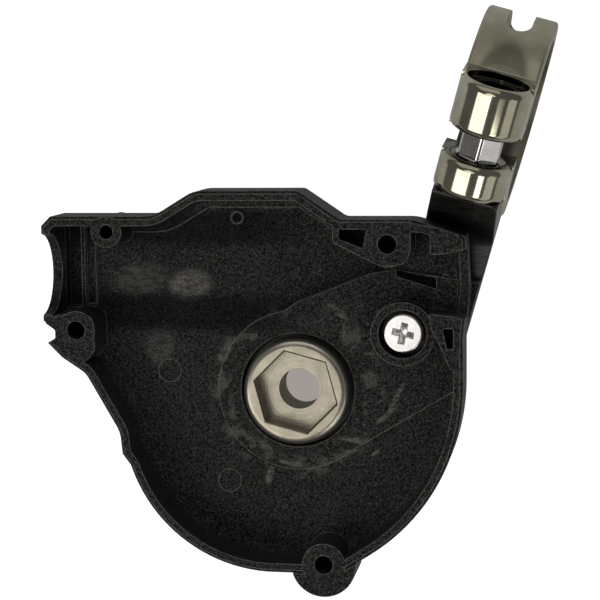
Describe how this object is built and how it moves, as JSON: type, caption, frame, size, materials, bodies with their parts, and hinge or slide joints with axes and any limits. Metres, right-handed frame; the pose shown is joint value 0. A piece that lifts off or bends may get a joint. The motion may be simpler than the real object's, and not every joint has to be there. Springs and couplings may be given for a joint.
{
  "type": "gear shifter housing with handlebar clamp",
  "caption": "Open shell of a bicycle hub-gear shifter on its bracket arm, with a hollow pivot bolt, a retaining screw and a handlebar clamp band.",
  "frame": {"origin": "on the hollow pivot bolt's axis, level with the housing's back face", "axes": "+Z along the pivot bolt's axis, out of the housing's open side; +Y towards the handlebar clamp; +X to the right seen from the open side, so that the cable port opens towards -X"},
  "size_m": [0.0687, 0.0787, 0.0346],
  "materials": {
    "shell_plastic": "fine spark-textured black moulding, scuffed",
    "arm_plastic": "smooth glossy black",
    "clamp_metal": "dull warm nickel plating, polished lugs",
    "bolt_steel": "turned bright steel",
    "pivot_nickel": "satin nickel with bright edges",
    "screw_zinc": "bright zinc with turning marks",
    "black_fibre": "matt black",
    "brass": "turned brass"
  },
  "bodies": {
    "housing": {"housing_shell": "shell_plastic", "bracket_arm": "arm_plastic", "clamp_band": "clamp_metal", "pivot_insert": "brass", "screw_insert": "brass"},
    "pivot_washer_body": {"pivot_washer": "black_fibre"},
    "pivot_bolt_body": {"pivot_bolt": "pivot_nickel"},
    "screw_washer_body": {"screw_washer": "black_fibre"},
    "retaining_screw_body": {"retaining_screw": "screw_zinc"},
    "clamp_washer_body": {"clamp_washer": "bolt_steel"},
    "clamp_bolt_body": {"clamp_bolt": "bolt_steel"}
  },
  "joints": [
    {"name": "pivot_bolt_lift", "type": "slide", "parent": "housing", "child": "pivot_washer_body", "axis": [0, 0, 1], "range_m": [0, 0.0025]},
    {"name": "pivot_bolt_turn", "type": "hinge", "parent": "pivot_washer_body", "child": "pivot_bolt_body", "pos_m": [0, 0, 0.001], "axis": [0, 0, 1], "range_deg": [0, 900]},
    {"name": "retaining_screw_lift", "type": "slide", "parent": "housing", "child": "screw_washer_body", "axis": [0, 0, 1], "range_m": [0, 0.003]},
    {"name": "retaining_screw_turn", "type": "hinge", "parent": "screw_washer_body", "child": "retaining_screw_body", "pos_m": [0.0146, 0.00815, 0.0033], "axis": [0, 0, 1], "range_deg": [0, 2160]},
    {"name": "clamp_bolt_lift", "type": "slide", "parent": "housing", "child": "clamp_washer_body", "axis": [0.2686, 0.9366, 0.225], "range_m": [0, 0.0045]},
    {"name": "clamp_bolt_turn", "type": "hinge", "parent": "clamp_washer_body", "child": "clamp_bolt_body", "pos_m": [0.0257, 0.03418, 0.01351], "axis": [0.2686, 0.9366, 0.225], "range_deg": [0, 1620]}
  ],
  "couplings": [
    {"joint": "pivot_bolt_turn", "follows": "pivot_bolt_lift", "rad_per_m": 6283.2},
    {"joint": "retaining_screw_turn", "follows": "retaining_screw_lift", "rad_per_m": 12566},
    {"joint": "clamp_bolt_turn", "follows": "clamp_bolt_lift", "rad_per_m": 6283.2}
  ]
}
